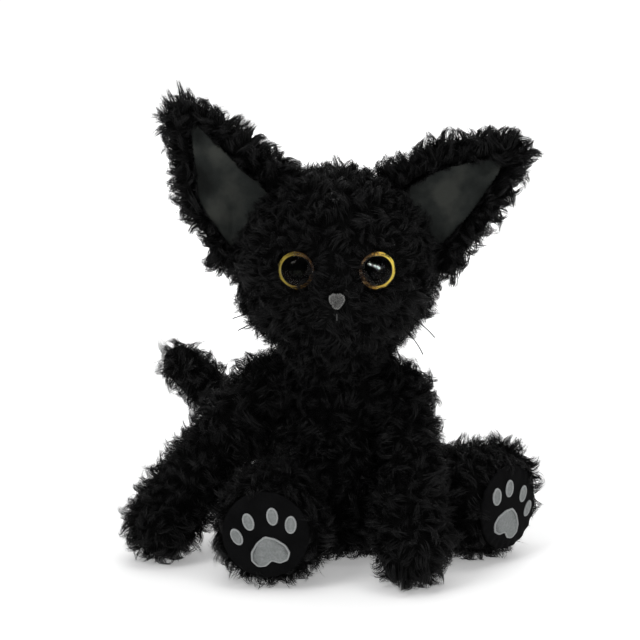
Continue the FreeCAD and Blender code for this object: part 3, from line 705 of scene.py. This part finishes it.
def carve_face(points):
    """Sink the skin behind the eyes and the nose."""
    for centre, axis in EYES:
        offset = points - centre
        depth = offset @ axis
        ring = np.linalg.norm(offset - depth[:, None] * axis, axis=1)
        room = -2.0 * MM + np.maximum(ring - 9.5 * MM, 0) * 1.2
        near = (ring < 15 * MM) & (depth > -10 * MM)
        lower = np.minimum(depth, room) - depth
        points = np.where(near[:, None], points + lower[:, None] * axis, points)
    offset = points - NOSE
    ring = np.linalg.norm(offset[:, [0, 2]], axis=1)
    room = -np.maximum(ring - 4 * MM, 0) * 0.5
    near = (ring < 9 * MM) & (offset[:, 1] < room) & (offset[:, 1] > -12 * MM)
    points[:, 1] = np.where(near, NOSE[1] + room, points[:, 1])
    return points


def lower_inner(places, eyes=None):
    """1 just outside the rim of an eye on the side that faces the nose, fading to 0 around it."""
    close = np.zeros((len(places), 1))
    for centre, axis in eyes or EYES:
        offset = places - centre
        side = offset - (offset @ axis)[:, None] * axis
        distance = np.linalg.norm(side, axis=1, keepdims=True)
        facing = np.clip(unit(side) @ unit(NOSE - centre) - 0.35, 0, 0.4)[:, None] / 0.4
        close = np.maximum(close, facing * np.clip((14 * MM - distance) / (3 * MM), 0, 1))
    return close


def face_flow(places, normals):
    """Pile runs away from the nose on the face and lies downwards elsewhere."""
    away = places - NOSE
    near = np.exp(-(np.linalg.norm(away, axis=1) / (34 * MM)) ** 2)[:, None]
    away = unit(away - normals * np.sum(away * normals, axis=1, keepdims=True))
    flow = default_flow(places, normals) * (1 - near) + 0.75 * away * near
    for centre, axis in EYES:
        offset = places - centre
        side = unit(offset - (offset @ axis)[:, None] * axis)
        close = lower_inner(places, [(centre, axis)])
        flow = flow * (1 - close) - 1.6 * side * close
    return flow


def face_length(places, normals):
    """Short pile round the nose and eyes, long on the cheeks and crown."""
    nose_part = np.clip((np.linalg.norm(places - NOSE, axis=1) - 5 * MM) / (30 * MM), 0, 1)
    eye_part = np.clip((eye_distance(places) - 8 * MM) / (12 * MM), 0, 1)
    eye_part = np.maximum(eye_part, 0.7 * lower_inner(places)[:, 0])
    share = np.minimum(0.42 + 0.58 * nose_part, 0.45 + 0.55 * eye_part)
    return PILE_LENGTH * share


def face_keep(places, normals):
    nose = np.linalg.norm((places - NOSE) * np.array([1.0, 0.35, 1.0]), axis=1) > 4.2 * MM
    return (eye_distance(places) > EYE_RADIUS - 1.5 * MM) & nose


# ---------------- head, torso, legs and tail

def build_torso(materials):
    shoulders = [(joint_point(f"{side}_foreleg_raise") * 0.95, 15 * MM) for side in SIDES]
    skin = soft_skin("torso_skin", ["torso_stuffing"], shoulders, seed=11)
    dress(skin, materials["skin"])
    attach(skin, "torso")
    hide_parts("torso_fur_cover", "torso_stuffing")
    grow_pile("torso_pile", skin, "torso", materials["fur"], seed=12)


def build_head(materials):
    neck = joint_point("head_turn")
    balls = [(neck + Vector((0, 0, 4 * MM)), 25 * MM), (Vector(NOSE) + Vector((0, 10 * MM, 0)), 9 * MM)]
    skin = soft_skin("head_skin", ["head_stuffing"], balls, seed=21, carve=carve_face)
    dress(skin, materials["skin"])
    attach(skin, "head")
    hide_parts("head_fur_cover", "head_stuffing")
    grow_pile("head_pile", skin, "head", materials["fur"], flow=face_flow, length=face_length,
              keep=face_keep, shape=clear_eyes, seed=22)


def build_nose(materials):
    """Short flock over the front of the moulded nose."""
    skin = link(NODES["nose"].copy())
    skin.data = NODES["nose"].data.copy()
    finer = skin.modifiers.new("finer", "REMESH")
    finer.mode = "VOXEL"
    finer.voxel_size = 0.5 * MM
    apply_modifiers(skin)
    grow_pile("nose_flock", skin, "head", materials["flock"],
              flow=lambda places, normals: 0.2 * default_flow(places, normals),
              length=lambda places, normals: np.full(len(places), 0.9 * MM),
              keep=lambda places, normals: places[:, 1] < NOSE[1] + 0.5 * MM,
              density=75e6, spacing=0.5 * MM, width=0.06 * MM, curl=1.0, stray=0.15, seed=26)
    bpy.data.objects.remove(skin)


def build_foreleg(side, materials):
    pivot = joint_point(f"{side}_foreleg_raise")
    name = f"{side}_foreleg"
    skin = soft_skin(f"{name}_skin", [f"{name}_stuffing"], [(pivot, 13 * MM)], seed=31 + len(side))
    dress(skin, materials["skin"])
    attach(skin, name)
    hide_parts(f"{name}_fur_cover", f"{name}_stuffing")
    grow_pile(f"{name}_pile", skin, name, materials["fur"], seed=41 + len(side))


def build_tail(materials):
    pivot = joint_point("tail_swing")
    skin = soft_skin("tail_skin", ["tail_stuffing"], [(pivot, 9 * MM)], grow=4.2 * MM, seed=51,
                     voxel=2.6 * MM, relax=3)
    dress(skin, materials["skin"])
    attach(skin, "tail")
    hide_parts("tail_fur_cover", "tail_stuffing")
    grow_pile("tail_pile", skin, "tail", materials["fur"], seed=52)


def build_hindleg(side, materials):
    pivot = joint_point(f"{side}_hindleg_raise")
    name = f"{side}_hindleg"
    plate = Plate(f"{side}_sole", UP)

    def keep(places, normals):
        flat = plate.flat(places)
        ring = np.linalg.norm(flat[:, :2], axis=1)
        return ~((ring < SOLE_RADIUS - 0.5 * MM) & (flat[:, 2] > -9 * MM))

    def flow(places, normals):
        flat = plate.flat(places)
        ring = unit(flat * np.array([1.0, 1.0, 0.0]))
        outward = ring[:, 0:1] * plate.across + ring[:, 1:2] * plate.up
        near = np.exp(-(np.abs(flat[:, 2]) / (12 * MM)) ** 2)[:, None]
        return default_flow(places, normals) * (1 - near) + (1.0 * plate.normal - 0.62 * outward) * near

    def carve(points):
        flat = plate.flat(points)
        ring = np.linalg.norm(flat[:, :2], axis=1)
        room = -3.2 * MM - 3.5 * MM * np.clip(ring / SOLE_RADIUS - 0.8, 0, 1)
        flat[:, 2] = np.where(ring < SOLE_RADIUS + 6 * MM, np.minimum(flat[:, 2], room), flat[:, 2])
        return plate.solid(flat)

    def shape(strands):
        flat = plate.flat(strands)
        ring = np.linalg.norm(flat[..., :2], axis=-1, keepdims=True)
        room = SOLE_RADIUS - 4.2 * MM
        near = (ring < room) & (flat[..., 2:3] > -8 * MM)
        pushed = flat.copy()
        pushed[..., :2] = flat[..., :2] / np.maximum(ring, 1e-6) * room
        return plate.solid(np.where(near, pushed, flat))

    balls = [(pivot, 16 * MM)]
    if side == "left":
        heel = plate.middle + 9 * MM * plate.across + 5 * MM * plate.up - 17 * MM * plate.normal
        balls.append((Vector(heel), 19 * MM))
    skin = soft_skin(f"{name}_skin", [f"{name}_stuffing"], balls, seed=61 + len(side), carve=carve)
    dress(skin, materials["skin"])
    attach(skin, name)
    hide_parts(f"{name}_fur_cover", f"{name}_stuffing")
    grow_pile(f"{name}_pile", skin, name, materials["fur"], flow=flow, keep=keep, shape=shape,
              seed=71 + len(side))
    build_sole(side, plate, materials)


# ---------------- soles and their embroidery

SOLE_RADIUS = 21 * MM
SOLE_CROWN = 2.6 * MM


def sole_height(flat):
    """Height of the padded sole over the plate's front, with puckers at the seam."""
    ring = np.linalg.norm(flat, axis=-1) / SOLE_RADIUS
    angle = np.arctan2(flat[..., 1], flat[..., 0])
    dome = SOLE_CROWN * (1 - ring ** 2.4) - 1.6 * MM
    pucker = 0.35 * MM * np.sin(angle * 23 + 2 * np.sin(angle * 3)) * np.clip(ring - 0.72, 0, 1) / 0.28
    return dome + pucker


def build_sole(side, plate, materials):
    rings = 26
    turns = 120
    radius = np.linspace(0.02, 1.0, rings) * SOLE_RADIUS
    angle = np.linspace(0, 2 * math.pi, turns, endpoint=False)
    flat = np.stack([np.outer(radius, np.cos(angle)), np.outer(radius, np.sin(angle))], axis=-1)
    front = np.concatenate([flat, sole_height(flat)[..., None]], axis=-1)
    back = front[::-1].copy()
    back[..., 2] -= 1.2 * MM
    loops = np.concatenate([front, back]).reshape(-1, 3)
    rows = 2 * rings
    start = (np.arange(rows - 1) * turns)[:, None] + np.arange(turns)
    after = (np.arange(rows - 1) * turns)[:, None] + (np.arange(turns) + 1) % turns
    quads = np.stack([start, start + turns, after + turns, after], axis=-1).reshape(-1, 4)
    here = np.arange(turns)
    beside = (here + 1) % turns
    last = (rows - 1) * turns
    closing = np.stack([here + last, here, beside, beside + last], axis=-1)
    sole = quad_mesh(f"{side}_sole_pad", plate.solid(loops), np.vstack([quads, closing]))
    dress(sole, materials["sole"])
    body = f"{side}_hindleg"
    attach(sole, body)
    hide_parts(f"{side}_sole")
    for label, node in (("toes", f"{side}_sole_toe_prints"), ("pad", f"{side}_sole_pad_print")):
        outlines = [rounded(evenly(outline, 0.5 * MM), 3) for outline in front_outlines(node, plate)]
        rows = threads(f"{side}_{label}_embroidery", fill_stitches(outlines), plate, 0.30 * MM)
        edge = threads(f"{side}_{label}_satin_edge", satin_stitches(outlines), plate, 0.26 * MM)
        dress(rows, materials["print"])
        dress(edge, materials["border"])
        for piece in (rows, edge):
            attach(piece, body)
        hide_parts(node)


def fill_stitches(outlines, spacing=0.42 * MM):
    """Slanted rows of thread across each shape, as end points in the plate's frame."""
    stitches = []
    slant = math.radians(18)
    along = np.array([math.cos(slant), math.sin(slant)])
    over = np.array([-along[1], along[0]])
    for outline in outlines:
        heights = outline @ over
        for height in np.arange(heights.min() + spacing / 2, heights.max(), spacing):
            crossings = []
            for first, second in zip(outline, np.roll(outline, -1, axis=0)):
                low, high = first @ over, second @ over
                if (low > height) != (high > height):
                    share = (height - low) / (high - low)
                    crossings.append((first + (second - first) * share) @ along)
            crossings.sort()
            for start, end in zip(crossings[::2], crossings[1::2]):
                if end - start > 0.8 * MM:
                    stitches.append((start * along + height * over, end * along + height * over, 0.30 * MM))
    return stitches


def satin_stitches(outlines, spacing=0.36 * MM, reach=0.75 * MM):
    """Short stitches side by side across the edge of each shape."""
    stitches = []
    for outline in outlines:
        even = evenly(outline, spacing)
        ahead = np.roll(even, -1, axis=0) - np.roll(even, 1, axis=0)
        normal = unit(np.stack([ahead[:, 1], -ahead[:, 0]], axis=1))
        for place, across in zip(even, normal):
            stitches.append((place - across * reach, place + across * reach * 0.35, 0.5 * MM))
    return stitches


def threads(name, stitches, plate, radius, sides=6, steps=7):
    """Rounded threads laid over the sole between the ends of each stitch."""
    rng = np.random.default_rng(len(stitches))
    angle = np.linspace(0, 2 * math.pi, sides, endpoint=False)
    points = []
    quads = []
    share = np.linspace(0, 1, steps)
    bulge = np.sin(share * math.pi) ** 0.5
    for start, end, lift in stitches:
        line = start[None, :] + (end - start)[None, :] * share[:, None]
        across = unit(np.array([start[1] - end[1], end[0] - start[0]]))
        thick = radius * rng.uniform(0.85, 1.1)
        height = sole_height(line) + lift * bulge + rng.uniform(-0.04, 0.04) * MM
        size = thick * (0.35 + 0.65 * bulge)
        ring = line[:, None, :] + across * (np.cos(angle)[None, :, None] * size[:, None, None])
        up = height[:, None] + np.sin(angle)[None, :] * size[:, None]
        base = len(points) * steps * sides
        points.append(np.concatenate([ring, up[..., None]], axis=-1).reshape(-1, 3))
        first = (np.arange(steps - 1) * sides)[:, None] + np.arange(sides)
        second = (np.arange(steps - 1) * sides)[:, None] + (np.arange(sides) + 1) % sides
        quads.append(base + np.stack([first, second, second + sides, first + sides], axis=-1).reshape(-1, 4))
    return quad_mesh(name, plate.solid(np.concatenate(points)), np.concatenate(quads))


# ---------------- ears

def build_ear(side, materials):
    name = f"{side}_ear"
    lining_node = f"{side}_ear_lining"
    hinge = np.array(joint_point(f"{side}_ear_fold"))
    low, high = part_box(lining_node)
    tip_way = (np.array(low) + np.array(high)) / 2 - hinge
    plate = Plate(lining_node, tip_way)
    outline = evenly(max(front_outlines(lining_node, plate), key=len), 0.8 * MM)
    tip = outline[:, 1].max()
    outline = np.stack([outline[:, 0] * 1.08, tip - (tip - outline[:, 1]) * 1.24], axis=1)
    outline = rounded(outline, 26)
    seam = np.array(joint_axis(f"{side}_ear_fold"))
    balls = [(Vector(hinge + seam * step * MM - plate.up * 5 * MM), 9 * MM) for step in range(-24, 25, 6)]

    def within(flat):
        distance = outline_distance(outline, flat[:, :2])
        return np.where(inside(outline, flat[:, :2]), distance, -distance)

    def cup(flat, depth):
        """Edges roll forward, the middle of the lining sinks and creases."""
        reach = depth * (1 - np.exp(-(np.maximum(within(flat), 0) / (7 * MM)) ** 2))
        crease = 0.8 * MM * np.sin(flat[:, 0] / (4.6 * MM) + 1.6 * np.sin(flat[:, 1] / (10 * MM)))
        roll = 3.5 * MM * (flat[:, 0] / (30 * MM)) ** 2
        return roll - reach + crease * np.clip(within(flat) / (5 * MM), 0, 1)

    def carve(points):
        flat = plate.flat(points)
        front = flat[:, 2] > -5.5 * MM
        sunk = np.where(within(flat) > -1.5 * MM, np.minimum(flat[:, 2], -1.6 * MM), flat[:, 2])
        flat[:, 2] = np.where(front, sunk + cup(flat, 3.4 * MM), flat[:, 2] + cup(flat, 1.0 * MM))
        return plate.solid(flat)

    def keep(places, normals):
        flat = plate.flat(places)
        return ~((within(flat) > -0.3 * MM) & (normals @ plate.normal > 0.1))

    def flow(places, normals):
        flat = plate.flat(places)
        away = unit(flat * np.array([1.0, 0.55, 0.0]) + np.array([0.0, 6 * MM, 0.0]))
        outward = 0.75 * (away[:, 0:1] * plate.across + away[:, 1:2] * plate.up)
        return outward - normals * np.sum(outward * normals, axis=1, keepdims=True)

    def shape(strands):
        flat = plate.flat(strands)
        back = 0.6 * np.clip((within(flat.reshape(-1, 3)) / (3 * MM)).reshape(flat.shape[:2]), 0, 1)
        front = flat[:, :1, 2] > -5 * MM
        flat[..., :2] -= (flat[..., :2] - flat[:, :1, :2]) * (back * front)[..., None]
        flat = flat.reshape(-1, 3)
        deep = np.clip((within(flat) - 2.0 * MM) / (2 * MM), 0, 1)
        floor = cup(flat, 3.4 * MM) + 0.5 * MM
        lifted = np.maximum(flat[:, 2], floor)
        flat[:, 2] = np.where((deep > 0) & (flat[:, 2] > -4 * MM), lifted, flat[:, 2])
        return plate.solid(flat).reshape(strands.shape)

    skin = soft_skin(f"{name}_skin", [f"{name}_fur_cover", f"{name}_batting", lining_node], balls,
                     grow=-1.3 * MM, lumps=0.5 * MM, seed=81 + len(side), voxel=2.2 * MM, relax=4, carve=carve)
    dress(skin, materials["skin"])
    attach(skin, name)
    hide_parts(f"{name}_fur_cover", f"{name}_batting")
    build_lining(side, plate, outline, cup, materials)
    grow_pile(f"{name}_pile", skin, name, materials["fur"], flow=flow, keep=keep, shape=shape,
              length=lambda places, normals: np.full(len(places), 10.0 * MM), density=2.2e6,
              seed=91 + len(side))


def build_lining(side, plate, outline, cup, materials):
    """Velour lining: a fine grid trimmed to the outline, with thickness."""
    step = 0.8 * MM
    low = outline.min(axis=0) - step
    high = outline.max(axis=0) + step
    columns = int((high[0] - low[0]) / step) + 2
    rows = int((high[1] - low[1]) / step) + 2
    across, up = np.meshgrid(low[0] + np.arange(columns) * step, low[1] + np.arange(rows) * step,
                             indexing="ij")
    places = np.stack([across.ravel(), up.ravel()], axis=1)
    wanted = inside(outline, places)
    index = np.full(len(places), -1)
    index[wanted] = np.arange(wanted.sum())
    grid = index.reshape(columns, rows)
    quads = np.stack([grid[:-1, :-1], grid[1:, :-1], grid[1:, 1:], grid[:-1, 1:]], axis=-1)
    quads = quads.reshape(-1, 4)
    quads = quads[(quads >= 0).all(axis=1)]
    flat = np.concatenate([places[wanted], np.zeros((wanted.sum(), 1))], axis=1)
    flat[:, 2] = -0.3 * MM + cup(flat, 3.4 * MM)
    lining = quad_mesh(f"{side}_ear_velour", plate.solid(flat), quads)
    thick = lining.modifiers.new("thick", "SOLIDIFY")
    thick.thickness = 0.8 * MM
    thick.offset = -1
    apply_modifiers(lining)
    smooth_faces(lining)
    dress(lining, materials["lining"])
    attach(lining, f"{side}_ear")
    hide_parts(f"{side}_ear_lining")


# ---------------- stage

def brighten_far(material):
    """The paper sweep glows softly away from the middle, so it stays white to its edge."""
    nodes = material.node_tree.nodes
    links = material.node_tree.links
    place = nodes.new("ShaderNodeTexCoord")
    length = nodes.new("ShaderNodeVectorMath")
    length.operation = "LENGTH"
    fade = nodes.new("ShaderNodeMapRange")
    set_inputs(fade, {"From Min": 0.18, "From Max": 0.9, "To Min": 0.3, "To Max": 0.8})
    fade.interpolation_type = "SMOOTHSTEP"
    shader = nodes["Principled BSDF"]
    links.new(place.outputs["Object"], length.inputs[0])
    links.new(length.outputs["Value"], fade.inputs["Value"])
    links.new(fade.outputs["Result"], shader.inputs["Emission Strength"])
    shader.inputs["Emission Color"].default_value = (1, 1, 1, 1)


def build_stage():
    floor_material = surface_material("pale_floor", tones(0.90, 0.93), 2, 0.7)
    brighten_far(floor_material)
    bpy.ops.mesh.primitive_circle_add(vertices=96, radius=6, fill_type="NGON", location=(0, 0, 0))
    floor = bpy.context.object
    floor.name = "floor"
    dress(floor, floor_material)
    world = bpy.data.worlds.new("studio")
    bpy.context.scene.world = world
    world.use_nodes = True
    nodes = world.node_tree.nodes
    links = world.node_tree.links
    output = nodes["World Output"]
    room = nodes["Background"]
    set_inputs(room, {"Color": (1, 1, 1, 1), "Strength": 0.22})
    white = nodes.new("ShaderNodeBackground")
    set_inputs(white, {"Color": (1, 1, 1, 1), "Strength": 1.05})
    path = nodes.new("ShaderNodeLightPath")
    choose = nodes.new("ShaderNodeMixShader")
    links.new(path.outputs["Is Camera Ray"], choose.inputs["Fac"])
    links.new(room.outputs["Background"], choose.inputs[1])
    links.new(white.outputs["Background"], choose.inputs[2])
    links.new(choose.outputs["Shader"], output.inputs["Surface"])


def area_light(name, place, target, size, power, size_y=None):
    data = bpy.data.lights.new(name, "AREA")
    data.energy = power
    data.size = size
    if size_y:
        data.shape = "RECTANGLE"
        data.size_y = size_y
    lamp = link(bpy.data.objects.new(name, data))
    lamp.location = place
    lamp.rotation_euler = (Vector(target) - Vector(place)).to_track_quat("-Z", "Y").to_euler()
    return lamp


def build_lights():
    area_light("key_softbox", (-1.1, -1.3, 1.6), (0, 0, 0.12), 0.9, 17, 0.9)
    area_light("fill_softbox", (1.4, -1.1, 0.9), (0, 0, 0.12), 1.0, 8, 1.0)
    area_light("top_softbox", (0.0, 0.1, 2.0), (0, 0, 0.0), 1.8, 20, 1.8)
    area_light("rim_softbox", (0.3, 1.5, 1.2), (0, 0, 0.15), 1.2, 9, 0.8)


# two points of the left dome, right and up from its middle, that show the ends of the catch light
CATCH_LIGHT_ENDS = ((-5.6 * MM, 3.9 * MM), (0.4 * MM, 1.6 * MM))
CATCH_LIGHT_AWAY = 0.6


def build_catch_light():
    """A thin lamp placed where the left dome mirrors it to the camera; it lights nothing else."""
    centre, axis = EYES[SIDES.index("left")]
    view = unit(np.array(bpy.context.scene.camera.location) - centre)
    across = unit(np.cross(UP, axis))
    up = np.cross(axis, across)
    ends = []
    for right, rise in CATCH_LIGHT_ENDS:
        depth = math.sqrt(DOME_RADIUS ** 2 - right ** 2 - rise ** 2)
        normal = (right * across + rise * up + depth * axis) / DOME_RADIUS
        ends.append(centre + CATCH_LIGHT_AWAY * (2 * np.dot(normal, view) * normal - view))
    along = Vector(ends[0] - ends[1])
    middle = Vector((ends[0] + ends[1]) / 2)
    lamp = area_light("strip_softbox", middle, centre, along.length, 48, 0.07)
    lamp.visible_diffuse = False
    lamp.visible_transmission = False
    back = (middle - Vector(centre)).normalized()
    side = (along - along.dot(back) * back).normalized()
    lamp.rotation_euler = Matrix((side, back.cross(side), back)).transposed().to_euler()
    eyes = bpy.data.collections.new("catch_light_eye")
    eyes.objects.link(NODES["left_eye_dome"])
    lamp.light_linking.receiver_collection = eyes


def build_camera():
    """Long lens, slightly above the toy, looking straight at its face."""
    distance = 1.3
    field = 0.320
    elevation = math.radians(12)
    target = Vector((-0.0095, 0.0, 0.1165))
    place = target + Vector((0, -math.cos(elevation), math.sin(elevation))) * distance
    data = bpy.data.cameras.new("camera")
    data.sensor_width = 36
    data.lens = data.sensor_width * distance / field
    data.clip_start = 0.01
    camera = link(bpy.data.objects.new("camera", data))
    camera.location = place
    camera.rotation_euler = (target - place).to_track_quat("-Z", "Y").to_euler()
    bpy.context.scene.camera = camera
    bpy.context.scene.view_settings.view_transform = "Standard"


def dress_cad(materials):
    for side in SIDES:
        dress_node(f"{side}_eye_dome", clear_material(side))
        dress_node(f"{side}_eye_iris", materials[f"{side}_iris"])
        dress_node(f"{side}_eye_pupil", materials["pupil"])
        dress_node(f"{side}_eye_post", materials["black_plastic"])
        dress_node(f"{side}_eye_lock_washer", materials["white_plastic"])
        dress_node(f"{side}_whiskers", materials["whisker"])
    dress_node("nose_lock_washer", materials["white_plastic"])
    dress_node("nose", materials["flock"])
    dress_node("mouth_stitch", materials["mouth"])
    dress_node("closing_seam_stitches", materials["thread"])
    dress_node("pellet_bag", materials["bag"])
    dress_node("pellet_fill", materials["pellets"])


MATERIALS = make_materials()
dress_cad(MATERIALS)
build_torso(MATERIALS)
build_head(MATERIALS)
build_nose(MATERIALS)
for cat_side in SIDES:
    build_foreleg(cat_side, MATERIALS)
    build_hindleg(cat_side, MATERIALS)
    build_ear(cat_side, MATERIALS)
build_tail(MATERIALS)
build_stage()
build_lights()
build_camera()
build_catch_light()
